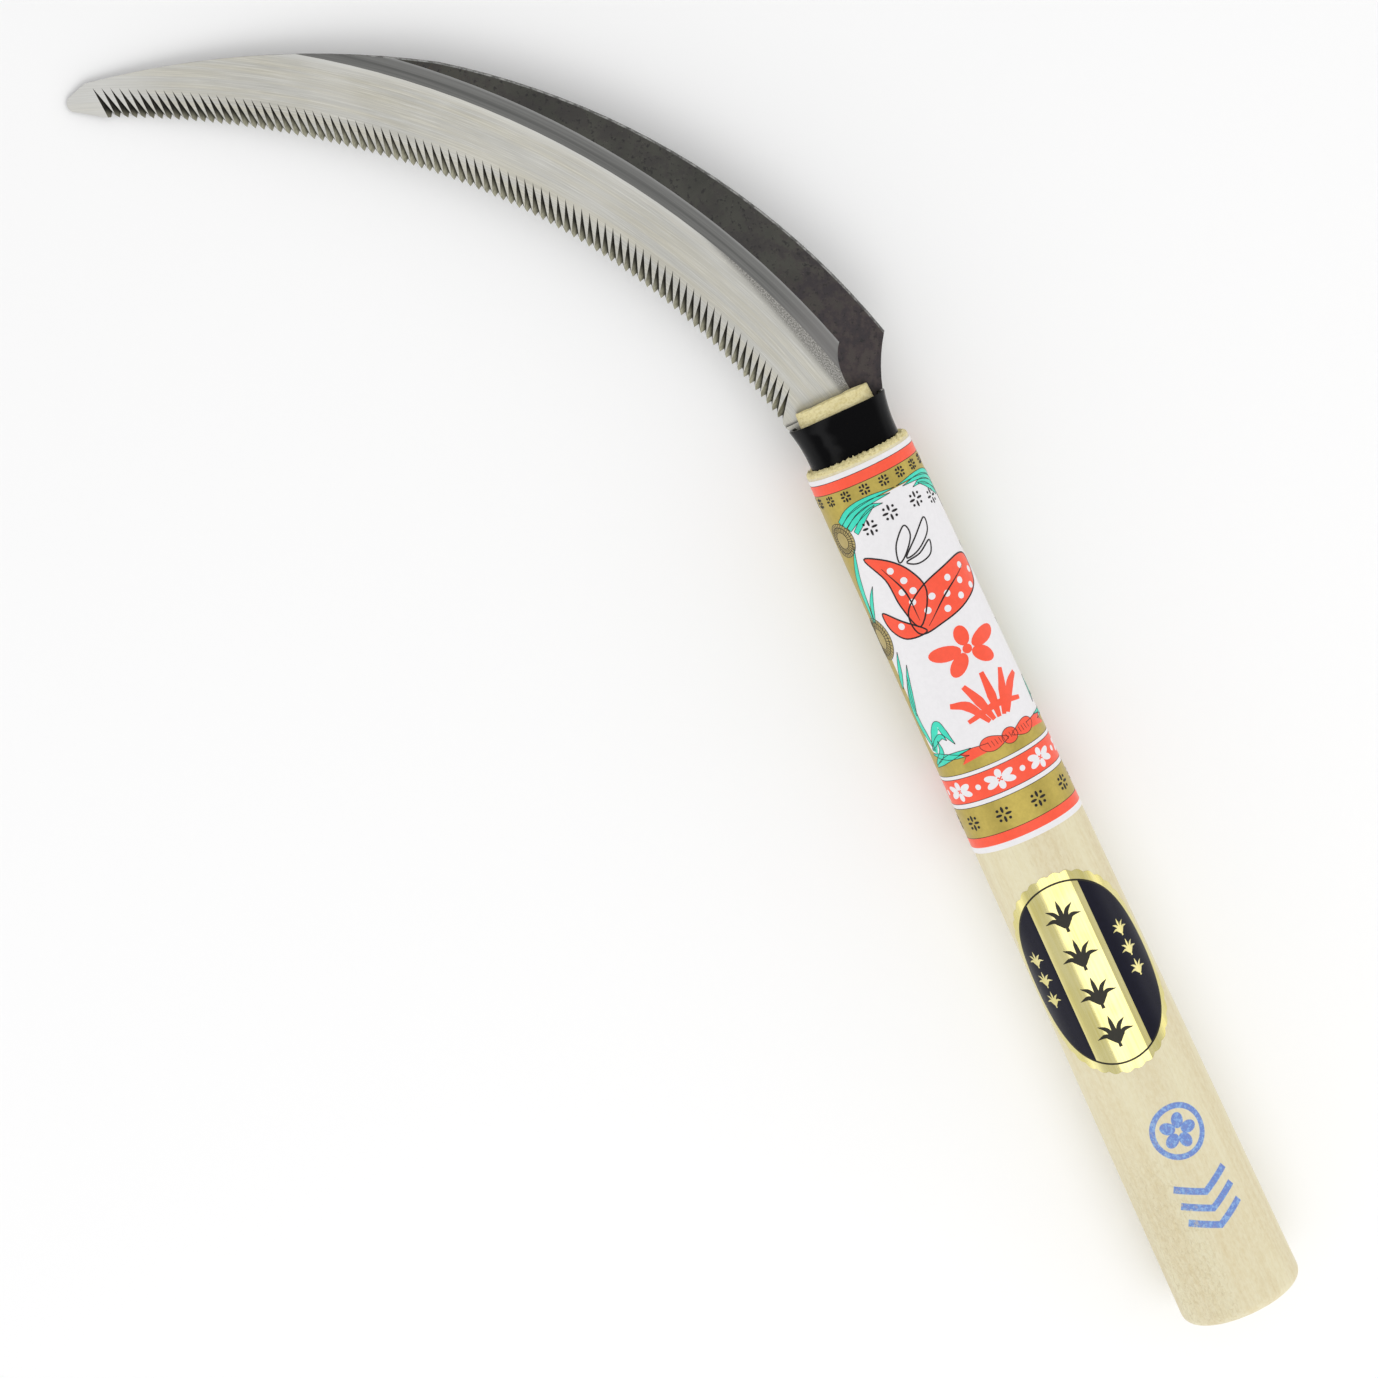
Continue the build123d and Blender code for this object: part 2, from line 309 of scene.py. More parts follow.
def back_steel():
    """The flat back: ground bright along the edge, with forge skin left along the spine."""
    m = Material("back_steel", Metallic=0.95, Roughness=0.38)
    along, across, height = m.along_blade()
    lines = m.drawn_out(along, across, (0.04, 4.0), 5.0, 4, 0.6)
    patches = m.noise(m.combine(m.math("MULTIPLY", along, 0.2), across, 7.0), 0.25, 4, 0.65)
    ground = m.mix(m.ramp(lines, 0.3, 0.7), (0.50, 0.50, 0.47), (0.38, 0.375, 0.35))
    edge = m.math("ADD", across, m.ramp(patches, 0.3, 0.7, -4.0, 4.0))
    m.set("Base Color", m.mix(m.ramp(edge, 15.0, 18.0), ground, (0.075, 0.074, 0.068)))
    m.bump(lines, 0.004 * MM)
    return m.material


def pale_wood(name="pale_wood", ink=None):
    """Pale close-grained wood, its grain along the handle, with faint growth bands and short dark pores."""
    m = Material(name, Roughness=0.55)
    m.set("Specular IOR Level", 0.35)
    place = m.position()
    bands = m.noise(m.stretch(place, (0.008, 0.09, 0.09)), 1.0, 3, 0.5, 0.4)
    streaks = m.noise(m.stretch(place, (0.03, 0.9, 0.9)), 1.0, 4, 0.6)
    fibres = m.noise(m.stretch(place, (0.12, 3.2, 3.2)), 1.0, 3, 0.6)
    pores = m.noise(m.stretch(place, (0.35, 4.5, 4.5)), 1.0, 2, 0.5)
    wood = m.mix(m.ramp(bands, 0.35, 0.65), (0.735, 0.67, 0.45), (0.665, 0.57, 0.352))
    wood = m.mix(m.ramp(streaks, 0.35, 0.7, 0.0, 0.4), wood, (0.745, 0.69, 0.50))
    wood = m.mix(m.ramp(fibres, 0.5, 0.75, 0.0, 0.4), wood, (0.60, 0.51, 0.315))
    wood = m.mix(m.ramp(pores, 0.66, 0.76, 0.0, 0.5), wood, (0.50, 0.40, 0.23))
    flecks = m.noise(m.stretch(place, (0.5, 1.0, 1.0)), 1.3, 4, 0.7)
    wood = m.mix(m.ramp(flecks, 0.35, 0.65, 0.0, 0.4), wood, (0.79, 0.745, 0.56))
    if ink:
        mottle = m.noise(place, 1.1, 5, 0.75)
        blue = m.mix(m.ramp(mottle, 0.45, 0.6), ink, PALE_BLUE)
        wood = m.mix(m.ramp(mottle, 0.30, 0.56, 0.70, 1.0), wood, blue)
    torn = m.noise(m.stretch(place, (0.7, 1.3, 1.3)), 1.0, 4, 0.7, 0.8)
    x, y = m.separate(place)[:2]
    patch = m.math("MULTIPLY", m.ramp(x, -160.0, -196.0), m.ramp(y, -1.0, 5.0))
    hollows = m.math("MULTIPLY", patch, m.ramp(torn, 0.50, 0.62, 0.0, 0.6))
    m.set("Base Color", m.mix(hollows, wood, (0.60, 0.51, 0.31)))
    lift = m.math("MULTIPLY_ADD", m.math("MULTIPLY", torn, 8.0), patch, fibres)
    m.bump(m.math("ADD", lift, streaks), 0.045 * MM, 0.8)
    return m.material


def sawn_wood():
    """End grain left rough from the saw: yellower, crumbly, with lighter torn fibres."""
    m = Material("sawn_wood", Roughness=0.75)
    m.set("Specular IOR Level", 0.2)
    place = m.position()
    crumbs = m.noise(place, 1.4, 5, 0.75)
    cuts = m.noise(m.stretch(place, (1.6, 0.5, 0.5)), 1.0, 3, 0.6)
    wood = m.mix(m.ramp(crumbs, 0.35, 0.62), (0.66, 0.56, 0.26), (0.82, 0.73, 0.40))
    m.set("Base Color", m.mix(m.ramp(cuts, 0.4, 0.65, 0.0, 0.5), wood, (0.87, 0.79, 0.49)))
    m.bump(m.math("ADD", crumbs, cuts), 0.25 * MM, 0.9)
    return m.material


def black_paint():
    """The ferrule's glossy, slightly wavy black, with a painted grey sheen on its sides and in one streak
    that stands in for its highlights.
    """
    m = Material("black_paint", Roughness=0.16)
    m.set("Specular IOR Level", 0.05)
    place = m.position()
    waves = m.noise(place, 0.16, 3, 0.5)
    dust = m.noise(place, 3.0, 3, 0.7)
    y = m.separate(place)[1]
    # Painted sheen: a grey streak and lighter sides stand in for the paint's highlights.
    sheen_streak = m.math("ABSOLUTE", m.math("ADD", y, m.math("MULTIPLY_ADD", waves, 9.0, -9.0)))
    sides = m.ramp(m.math("ABSOLUTE", y), 7.5, 11.5)
    tone_and_painted_sheen = m.math("ADD", sides, m.ramp(sheen_streak, 2.8, 0.4, 0.0, 0.6), clamp=True)
    black = m.mix(m.ramp(dust, 0.6, 0.8), (0.0025, 0.0025, 0.003), (0.010, 0.010, 0.011))
    m.set("Base Color", m.mix(tone_and_painted_sheen, black, (0.022, 0.022, 0.023)))
    m.set("Roughness", m.ramp(dust, 0.3, 0.8, 0.14, 0.26))
    m.bump(waves, 0.12 * MM, 0.6)
    return m.material


def printed(name, colour, gloss=0.35, shade=0.93, metallic=0.0, shine=0.3):
    """Ink or coated paper: an even colour with a faint mottle of its own and the paper's fine tooth."""
    m = Material(name, Roughness=gloss, Metallic=metallic)
    m.set("Specular IOR Level", shine)
    place = m.position()
    mottle = m.noise(place, 0.9, 4, 0.65)
    tooth = m.noise(place, 5.0, 2, 0.5)
    darker = tuple(channel * shade for channel in colour)
    m.set("Base Color", m.mix(m.ramp(mottle, 0.35, 0.65), colour, darker))
    m.bump(tooth, 0.004 * MM, 0.5)
    return m.material


def gold_foil():
    """Bright gold foil with faint rolling lines along the handle."""
    m = Material("gold_foil", Metallic=1.0, Roughness=0.17)
    place = m.position()
    lines = m.noise(m.stretch(place, (0.02, 2.0, 2.0)), 1.0, 3, 0.6)
    blush = m.noise(place, 0.12, 2, 0.5)
    gold = m.mix(m.ramp(lines, 0.35, 0.7), (0.75, 0.68, 0.31), (0.70, 0.62, 0.23))
    m.set("Base Color", m.mix(m.ramp(blush, 0.4, 0.7, 0.0, 0.4), gold, (0.82, 0.76, 0.42)))
    m.bump(lines, 0.006 * MM)
    return m.material


def floor_paint():
    """A plain pale studio floor."""
    m = Material("floor_paint", Roughness=0.8)
    tone_and_painted_sheen = m.noise(m.position(), 0.002, 2, 0.5)
    m.set("Base Color", m.mix(tone_and_painted_sheen, (0.965, 0.965, 0.965), (0.98, 0.98, 0.98)))
    return m.material


# ---------------------------------------------------------------- mesh helpers


def new_object(name, vertices, faces, material, sharp=40):
    """A mesh piece that rides on the sickle, smooth except at edges sharper than an angle in degrees."""
    mesh = bpy.data.meshes.new(name)
    mesh.from_pydata([tuple(v) for v in vertices], [], [tuple(f) for f in faces])
    shape = bmesh.new()
    shape.from_mesh(mesh)
    bmesh.ops.recalc_face_normals(shape, faces=shape.faces)
    shape.to_mesh(mesh)
    shape.free()
    mesh.shade_smooth()
    mesh.set_sharp_from_angle(angle=radians(sharp))
    mesh.materials.append(material)
    piece = bpy.data.objects.new(name, mesh)
    bpy.context.scene.collection.objects.link(piece)
    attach(piece, ROOT)
    return piece


def grid_faces(rows, columns, closed=True):
    """Quads between rows of vertices, joined round into a tube when closed."""
    faces = []
    for row in range(rows - 1):
        for column in range(columns if closed else columns - 1):
            after = (column + 1) % columns
            first = row * columns
            faces.append((first + column, first + after, first + columns + after, first + columns + column))
    return faces


def smooth_noise(points, scale, octaves=3):
    """Seeded noise from -1 to 1 at points in metres: a sum of turned waves, at scale millimetres."""
    total = np.zeros(len(points))
    weight = 1.0
    for _ in range(octaves):
        for _ in range(4):
            direction = random_state.normal(size=3)
            direction /= np.linalg.norm(direction)
            start = random_state.uniform(0, 2 * pi)
            total += weight * np.sin(points @ direction * 2 * pi / (scale * MM) + start) / 4
        weight *= 0.6
        scale *= 0.47
    return total


def curve(points, steps=6, closed=False):
    """A smooth line through points: Catmull-Rom pieces, each in the given number of steps."""
    knots = [Vector(p) for p in points]
    if closed:
        knots = [knots[-1], *knots, knots[0], knots[1]]
    else:
        knots = [2 * knots[0] - knots[1], *knots, 2 * knots[-1] - knots[-2]]
    line = []
    for a, b, c, d in zip(knots, knots[1:], knots[2:], knots[3:]):
        for step in range(steps):
            t = step / steps
            bend = (2 * a - 5 * b + 4 * c - d) * t * t / 2
            line.append(b + (c - a) * t / 2 + bend + (3 * b - a - 3 * c + d) * t**3 / 2)
    return line if closed else [*line, knots[-2]]


def stroke(points, widths, steps=6):
    """The outline of a brush stroke along a smooth line, with its width at even steps along it."""
    line = curve(points, steps)
    left, right = [], []
    for number, place in enumerate(line):
        before = line[max(number - 1, 0)]
        after = line[min(number + 1, len(line) - 1)]
        across = (after - before).orthogonal().normalized()
        width = np.interp(number / (len(line) - 1), np.linspace(0, 1, len(widths)), widths)
        left.append(place + across * width / 2)
        right.append(place - across * width / 2)
    return left + right[::-1]


def leaf(start, bend, end, width):
    """A leaf blade: a stroke that swells and then runs out to a point."""
    return stroke([start, bend, end], (width * 0.25, width * 0.9, width, width * 0.6, 0.04), 8)


def oval(centre, size, count=20, turn=0.0):
    """An ellipse with these half sizes, turned by an angle in degrees."""
    shape = []
    for number in range(count):
        angle = 2 * pi * number / count
        spot = Matrix.Rotation(radians(turn), 2) @ Vector((size[0] * cos(angle), size[1] * sin(angle)))
        shape.append(spot + Vector(centre))
    return shape


def band(start, end, half=41.2):
    """A stripe round the handle."""
    return [(start, -half), (end, -half), (end, half), (start, half)]


def edging(outline, width):
    """Thin strokes along a closed outline, in two halves that overlap at their ends."""
    middle = len(outline) // 2
    halves = (outline[: middle + 1], outline[middle:] + outline[:1])
    return [stroke(half, (width, width), 1) for half in halves]


def mirrored(shapes):
    """The shapes and their mirror images across the middle line."""
    return shapes + [[Vector((place[0], -place[1])) for place in shape] for shape in shapes]


def filled(shapes, strip=0.7):
    """Fills outlines with triangles, cut into strips across the girth so that they can bend.

    The triangulation fills the left side of an outline, so those that run clockwise are turned round.
    """
    points, edges, outlines = [], [], []
    for shape in shapes:
        corners = [Vector(place) for place in shape]
        if sum(a.x * b.y - a.y * b.x for a, b in zip(corners, corners[1:] + corners[:1])) < 0:
            corners.reverse()
        outlines.append(list(range(len(points), len(points) + len(corners))))
        points += corners
    ends = [function(p.x for p in points) for function in (min, max)]
    sides = [function(p.y for p in points) for function in (min, max)]
    for girth in np.arange(sides[0] + strip / 2, sides[1], strip):
        edges.append((len(points), len(points) + 1))
        points += [Vector((ends[0] - 1, girth)), Vector((ends[1] + 1, girth))]
    places, _, faces, _, _, sources = delaunay_2d_cdt(points, edges, outlines, 0, 0.0001)
    return places, [face for face, source in zip(faces, sources) if source]


def skin(name, shapes, wrap, low, high, material, strip=0.7):
    """A thin closed layer that follows the handle, from low to high above the wood, in millimetres."""
    places, faces = filled(shapes, strip)
    used = sorted({corner for face in faces for corner in face})
    index = {corner: number for number, corner in enumerate(used)}
    top = [tuple(index[corner] for corner in face) for face in faces]
    count = len(used)
    vertices = [wrap(places[v].x, places[v].y, lift) for lift in (high, low) for v in used]
    sides = {(a, b) for face in top for a, b in zip(face, face[1:] + face[:1])}
    walls = [(b, a, a + count, b + count) for a, b in sorted(sides) if (b, a) not in sides]
    under = [tuple(corner + count for corner in reversed(face)) for face in top]
    return new_object(name, vertices, top + under + walls, material)


def on_handle(x, angle, lift):
    """A point lifted off the handle's surface, at an angle from the top toward -Y."""
    radius = handle_radius(x) + lift * MM
    return (x, -radius * sin(angle), radius * cos(angle))


# ---------------------------------------------------------------- handle and tongues


def bezier(a, b, c, count):
    """Points along a quadratic Bezier curve, without the first."""
    points = []
    for number in range(count):
        t = (number + 1) / count
        points.append(tuple(p * (1 - t) ** 2 + 2 * q * t * (1 - t) + r * t * t for p, q, r in zip(a, b, c)))
    return points


def make_handle(wood, sawn):
    """The turned handle: a rough sawn shoulder, a straight taper and a domed butt."""
    columns = 400
    chamfer = 0.5 * MM
    rings = (4.0, 7.0, 8.5, 9.5, 10.2, 10.8, 11.3, 11.7, 12.0, 12.25)
    face = [(0.0, radius * MM) for radius in rings]
    edge = [(-chamfer * t, SHOULDER_RADIUS - chamfer * (1 - t)) for t in (0.33, 0.66, 1.0)]
    straight = [(x, handle_radius(x)) for x in -np.array([0.65, 0.85, 1.1, 1.3, 1.5, 2.0, 3.0]) * MM]
    straight += [(x, handle_radius(x)) for x in np.linspace(-6 * MM, BUTT_X + BUTT_DOME, 90)]
    corner = (BUTT_X + 0.9 * MM, BUTT_RADIUS - 2.8 * MM)
    butt = bezier(straight[-1], (BUTT_X + 1.7 * MM, BUTT_RADIUS), corner, 9)
    butt += bezier(corner, (BUTT_X, BUTT_RADIUS * 0.55), (BUTT_X, 0.4 * MM), 12)
    profile = [*face, *edge, *straight, *butt]
    turns = np.arange(columns) * 2 * pi / columns
    points = np.array([(x, -r * sin(t), r * cos(t)) for x, r in profile for t in turns])
    rough = smooth_noise(points, 1.3, 4)
    fine = random_state.uniform(-1, 1, len(points))
    depth = np.array([x for x, _ in profile for _ in turns])
    fray = np.clip(1 + depth / (1.3 * MM), 0, 1)
    points[:, 0] += fray * (0.34 * rough + 0.14 * fine) * MM
    inward = 1 - fray * (0.022 * np.abs(rough) + 0.010 * np.abs(fine))
    points[:, 1:] *= inward[:, None]
    faces = grid_faces(len(profile), columns)
    last = len(points) - columns
    faces += [tuple(range(last, last + columns)), tuple(reversed(range(columns)))]
    piece = new_object("handle_wood_body", points, faces, wood)
    piece.data.materials.append(sawn)
    for polygon in piece.data.polygons:
        polygon.material_index = int(polygon.center.x > -1.0 * MM)
    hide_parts("handle")


def blade_place(x, across, height):
    """A point given in the blade's own plane: along the handle, across the blade and up from its middle."""
    turned = Matrix.Rotation(-LIE_ANGLE, 3, "X") @ Vector((0, across, height))
    return (x, turned.y, turned.z)


def tongue_outline(width, height, corner, side):
    """Half of a rounded section, on one side of the blade's slot."""
    gap = BLADE_THICKNESS / 2 / MM + 0.04
    outline = [(-width / 2, gap + (height / 2 - corner - gap) * t) for t in (0.0, 0.3, 0.6, 0.9)]
    for number in range(9):
        angle = pi - pi / 2 * number / 8
        outline.append((corner - width / 2 + corner * cos(angle), height / 2 - corner + corner * sin(angle)))
    outline += [((width / 2 - corner) * t, height / 2) for t in (-0.8, -0.6, -0.4, -0.2, 0.0)]
    outline += [(-across, up) for across, up in reversed(outline[:-1])]
    outline += [(width / 2 * t, gap) for t in (0.8, 0.6, 0.4, 0.2, 0.0, -0.2, -0.4, -0.6, -0.8)]
    return [(across * MM, up * side * MM) for across, up in outline]


# Width, height and corner radius of the two tongues together, where they leave the handle and at their ends.
TONGUE_ROOT = (19.6, 14.0, 6.4)
TONGUE_END = (18.0, 10.2, 3.6)


def make_tongue(name, side, wood):
    """One of the two wooden tongues that hold the blade, with a rough saw-cut end."""
    reach = TONGUE_X / MM
    points = []
    ends = (1.0, 0.985, 0.95, 0.9, 0.82, 0.72, 0.6, 0.48, 0.36, 0.24, 0.12, 0.04)
    stations = [-1.0, 2.0, 5.0, 8.0, 10.0, 11.2, 12.2, 13.0, 13.4]
    rows = [(x, 1.0) for x in stations] + [(reach - 0.15, 1.0)] + [(reach, size) for size in ends[1:]]
    for x, size in rows:
        along = max(0.0, (x + 1.0) / (reach + 1.0))
        section = [root + (end - root) * along for root, end in zip(TONGUE_ROOT, TONGUE_END)]
        outline = tongue_outline(*section, side)
        middle = sum(up for _, up in outline) / len(outline)
        points += [blade_place(x * MM, v * size, middle + (w - middle) * size) for v, w in outline]
    points = np.array(points)
    columns = len(outline)
    cuts = smooth_noise(points * np.array([1.0, 3.0, 0.5]), 3.5, 4)
    fray = np.clip((points[:, 0] / MM - (reach - 1.2)), 0, 1)
    points[:, 0] -= fray * (0.42 * np.abs(cuts) + 0.12 * random_state.uniform(0, 1, len(points))) * MM
    faces = grid_faces(len(rows), columns)
    last = len(points) - columns
    faces += [tuple(range(last, last + columns)), tuple(reversed(range(columns)))]
    piece = new_object(name, points, faces, wood)


def make_stamp(blue_wood):
    """Two blue stamped marks on the wood behind the seal: a ringed flower and three chevrons."""
    turn = radians(3.1)
    radius = handle_radius(-183 * MM)

    def wrap(along, girth, lift):
        return on_handle(-along * MM, girth * MM / radius - turn, lift)

    flower = (175.6, 2.4)
    marks = edging(oval(flower, (6.2, 6.2), 40), 1.4) + bloom(flower, (4.6, 4.6), 5)
    for along in (188.2, 192.6, 197.0):
        marks.append(stroke([(along, -4.4), (along + 3.4, 2.4), (along, 9.2)], (1.8, 1.8), 1))
    piece = skin("handle_stamp_ink", marks, wrap, -0.03, 0.008, blue_wood)


# ---------------------------------------------------------------- ferrule


def collar_outline(width, height, corner, arc_steps=12, side_steps=8):
    """A rounded rectangle's points, with the same count whatever its size."""
    outline = []
    for quarter, (side_x, side_y) in enumerate(((1, 1), (-1, 1), (-1, -1), (1, -1))):
        middle = Vector((side_x * (width / 2 - corner), side_y * (height / 2 - corner)))
        for step in range(arc_steps + 1):
            angle = pi / 2 * (quarter + step / arc_steps)
            outline.append(middle + Vector((cos(angle), sin(angle))) * corner)
        last = outline[-1]
        turned = Vector((-side_x, side_y)) if quarter % 2 == 0 else Vector((side_x, -side_y))
        run = width - 2 * corner if quarter % 2 == 0 else height - 2 * corner
        direction = Vector((turned.x, 0)) if quarter % 2 == 0 else Vector((0, turned.y))
        outline += [last + direction * run * (step + 1) / (side_steps + 1) for step in range(side_steps)]
    return outline


def collar_size(x):
    """The ferrule's width, height and corner radius at x, by a parabola through its three known sections."""
    stations = (0.0, 5.2, 10.55)
    sections = ((22.0, 16.4, 7.6), (22.3, 14.7, 6.8), (24.2, 13.0, 5.8))
    return [float(np.polyval(np.polyfit(stations, values, 2), x)) for values in zip(*sections)]


def make_ferrule(paint):
    """The black steel collar, with rounded rims and a thin wall."""
    length = FERRULE_LENGTH / MM
    wall = 0.85
    rim = 0.3
    rows = [(rim - rim * cos(t), rim - rim * sin(t)) for t in np.linspace(0, pi / 2, 5)]
    rows += [(x, 0.0) for x in np.linspace(rim, length - rim, 24)[1:-1]]
    rows += [(length - rim + rim * sin(t), rim - rim * cos(t)) for t in np.linspace(0, pi / 2, 6)]
    rows += [(length - rim + rim * cos(t), wall - rim + rim * sin(t)) for t in np.linspace(0, pi / 2, 6)]
    rows += [(x, wall) for x in np.linspace(length - rim, rim, 12)[1:-1]]
    rows += [(0.0 + 0.05, wall - 0.05)]
    points = []
    for x, inset in rows:
        width, height, corner = collar_size(x)
        outline = collar_outline(width - 2 * inset, height - 2 * inset, corner - inset)
        points += [blade_place(x * MM, place.x * MM, place.y * MM) for place in outline]
    columns = len(outline)
    points = np.array(points)
    dents = smooth_noise(points, 7.0, 3)
    points[:, 2] += 0.03 * MM * dents
    faces = grid_faces(len(rows), columns)
    last = len(points) - columns
    faces += [(last + (c + 1) % columns, last + c, c, (c + 1) % columns) for c in range(columns)]
    piece = new_object("ferrule_collar", points, faces, paint, 50)
    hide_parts("ferrule")


# ---------------------------------------------------------------- paper label

LABEL_RADIUS = 13.2
LABEL_TURN = radians(19.1)
PAPER = 0.12


def on_label(along, girth, lift):
    """A point on the paper label, from its front edge and from its printed middle line, in millimetres."""
    return on_handle(LABEL_START - along * MM, LABEL_TURN + girth / LABEL_RADIUS, lift)


def rosette(centre, size, weight=1.0):
    """A small ornament, about size across: four thin petals, four dots between them and a ring of arcs."""
    along, girth = centre
    shapes = []
    for number in range(4):
        angle = pi / 2 * number
        ahead, aside = cos(angle), sin(angle)
        middle = (along + 0.3 * size * ahead, girth + 0.3 * size * aside)
        shapes.append(oval(middle, (0.2 * size, 0.075 * size * weight), 10, angle * 180 / pi))
        spot = (along + 0.3 * size * (ahead - aside), girth + 0.3 * size * (ahead + aside))
        shapes.append(oval(spot, (0.085 * size * weight, 0.085 * size * weight), 8))
    return shapes


def leaf_fan(centre, size):
    """A larger ornament: five pointed leaves that fan out from a short stalk."""
    along, girth = centre
    foot = (along + 0.45 * size, girth)
    shapes = [stroke([foot, (along + 0.1 * size, girth)], (0.09 * size, 0.05 * size))]
    for angle in (-78, -40, 0, 40, 78):
        turn = radians(angle)
        reach = size * (0.62 - 0.12 * abs(angle) / 78)
        end = (foot[0] - 0.25 * size - reach * cos(turn), girth + reach * sin(turn))
        bend = (foot[0] - 0.25 * size - reach * 0.55 * cos(turn * 0.8), girth + reach * 0.5 * sin(turn * 0.8))
        start = (foot[0] - 0.12 * size, girth + 0.04 * size * sin(turn))
        shapes.append(stroke([start, bend, end], (0.03 * size, 0.13 * size, 0.10 * size, 0.01 * size)))
    return shapes


def bloom(centre, sizes, petals, turn=90.0):
    """A rosette of broad petals round a point."""
    shapes = []
    for number in range(petals):
        angle = turn + 360 * number / petals
        reach = (sizes[0] * 0.58 * cos(radians(angle)), sizes[1] * 0.58 * sin(radians(angle)))
        middle = (centre[0] + reach[0], centre[1] + reach[1])
        direction = atan2(reach[1], reach[0])
        half = (hypot(*reach) * 0.72, min(sizes) * 0.32)
        shapes.append(oval(middle, half, 20, direction * 180 / pi))
    return shapes


def label_leaves():
    """The leaf border on the left half of the label."""
    return [
        stroke([(11.2, -16.9), (8.9, -12.6), (7.9, -7.0), (8.1, -0.3)], (1.2, 1.5, 1.4, 0.9, 0.04)),
        stroke([(12.2, -16.0), (9.9, -11.8), (8.8, -7.0), (8.8, -1.8)], (1.2, 1.5, 1.4, 0.9, 0.04)),
        stroke([(13.2, -14.9), (11.0, -11.0), (9.9, -7.4), (10.2, -4.4)], (1.2, 1.5, 1.4, 0.9, 0.04)),
        stroke([(14.4, -13.4), (12.4, -10.8), (10.9, -8.6), (9.9, -6.4)], (1.2, 1.4, 1.2, 0.8, 0.04)),
        leaf((36.0, -21.6), (26.0, -19.8), (17.2, -15.8), 1.9),
        leaf((36.0, -20.8), (31.5, -18.6), (27.4, -15.6), 1.3),
        leaf((53.0, -22.0), (49.0, -19.6), (43.9, -17.2), 1.5),
        leaf((60.0, -20.9), (54.0, -18.9), (47.4, -16.0), 1.5),
        leaf((69.0, -19.4), (59.5, -21.3), (50.0, -17.6), 2.0),
        stroke(
            [(69.5, -19.8), (64.6, -16.8), (62.9, -14.9), (65.4, -13.9), (68.6, -12.5)],
            (1.8, 2.0, 1.6, 1.6, 0.05),
        ),
        leaf((68.8, -20.4), (66.0, -15.8), (67.2, -14.2), 1.4),
        leaf((72.6, -21.6), (70.0, -17.5), (66.8, -17.0), 1.5),
        leaf((70.0, -21.0), (71.2, -16.0), (72.2, -10.4), 1.5),
        leaf((73.2, -21.8), (71.4, -15.4), (70.7, -9.4), 1.6),
    ]


def label_spray():
    """The spotted leaf spray in the middle of the label, in place of its picture."""
    large = [(41.6, -9.0), (36.0, -9.6), (31.6, -4.2), (29.6, 3.0), (29.0, 9.4)]
    large += [(31.0, 13.2), (36.4, 11.0), (39.6, 4.2), (41.2, -3.0)]
    tall = [(40.0, -8.2), (34.0, -10.6), (27.0, -11.4), (20.8, -14.6)]
    tall += [(22.8, -9.2), (27.0, -5.2), (33.0, -3.6)]
    small = [(41.4, -7.2), (37.2, -12.0), (34.2, -16.2), (38.2, -16.0), (41.6, -12.6)]
    return [curve(outline, 6, True) for outline in (large, tall, small)]


def label_twigs():
    """Three outlined leaflets above the spray."""
    return [
        curve([(24.4, -6.6), (20.4, -5.6), (17.0, -2.2), (19.6, -1.6), (23.2, -4.4)], 6, True),
        curve([(24.0, -4.6), (20.6, -0.8), (17.4, 3.4), (20.6, 2.8), (23.6, -1.4)], 6, True),
        curve([(25.0, -5.0), (24.4, -1.4), (22.6, 2.2), (25.6, 1.0), (26.4, -2.6)], 6, True),
    ]


def label_signs():
    """Two bold generic ornaments below the spray: a rosette and a fan of leaves."""
    shapes = bloom((49.2, -0.6), (5.8, 9.6), 5, 180.0)
    shapes.append(oval((49.2, -0.6), (1.1, 1.2)))
    for reach in (-9.8, -5.2, 0.0, 5.2, 9.4):
        top = 55.6 + abs(reach) ** 2 * 0.045
        spine = [(66.8, reach * 0.25 - 0.4), (61.5, reach * 0.62), (top, reach)]
        shapes.append(stroke(spine, (1.0, 2.3, 1.2)))
    shapes.append(stroke([(65.0, -7.4), (63.8, 0.0), (65.2, 7.0)], (1.0, 1.7, 1.0)))
    return shapes


def label_ribbon():
    """The tied ribbon at the foot of the label's window."""
    tail = [(71.2, -5.4), (70.8, -9.0), (71.3, -12.7), (72.4, -11.4)]
    tail += [(73.9, -12.9), (73.3, -9.0), (73.0, -5.8)]
    loop = [(71.6, -0.8), (70.0, -4.0), (70.0, -6.2), (71.4, -7.4), (73.0, -6.2), (73.4, -4.0), (72.2, -0.8)]
    return mirrored([tail, curve(loop, 5, True)]) + [oval((71.8, 0.0), (1.9, 2.0))]


def label_window():
    """The white arched window between the leaf borders."""
    half = [(8.4, 0), (8.6, 5), (9.8, 10), (12.4, 14.4), (17.5, 15.7), (22.5, 18.3), (31, 19.8), (45, 20.8)]
    half += [(60, 21.2), (68.6, 21.4), (70.4, 17.4), (72.0, 12.7), (72.7, 6.5), (72.9, 0)]
    side = curve(half, 5)
    return [*side, *[(along, -girth) for along, girth in reversed(side[1:-1])]]


def layer(name, shapes, number, material):
    """One printed layer of the label. Each layer lies just above the one before it."""
    low = PAPER - 0.06 + 0.004 * number
    skin(name, shapes, on_label, low, PAPER + 0.011 * number, material)


def shrunk(outline, share):
    """The outline made smaller about its middle."""
    middle = sum(outline, Vector((0, 0))) / len(outline)
    return [middle + (place - middle) * share for place in outline]


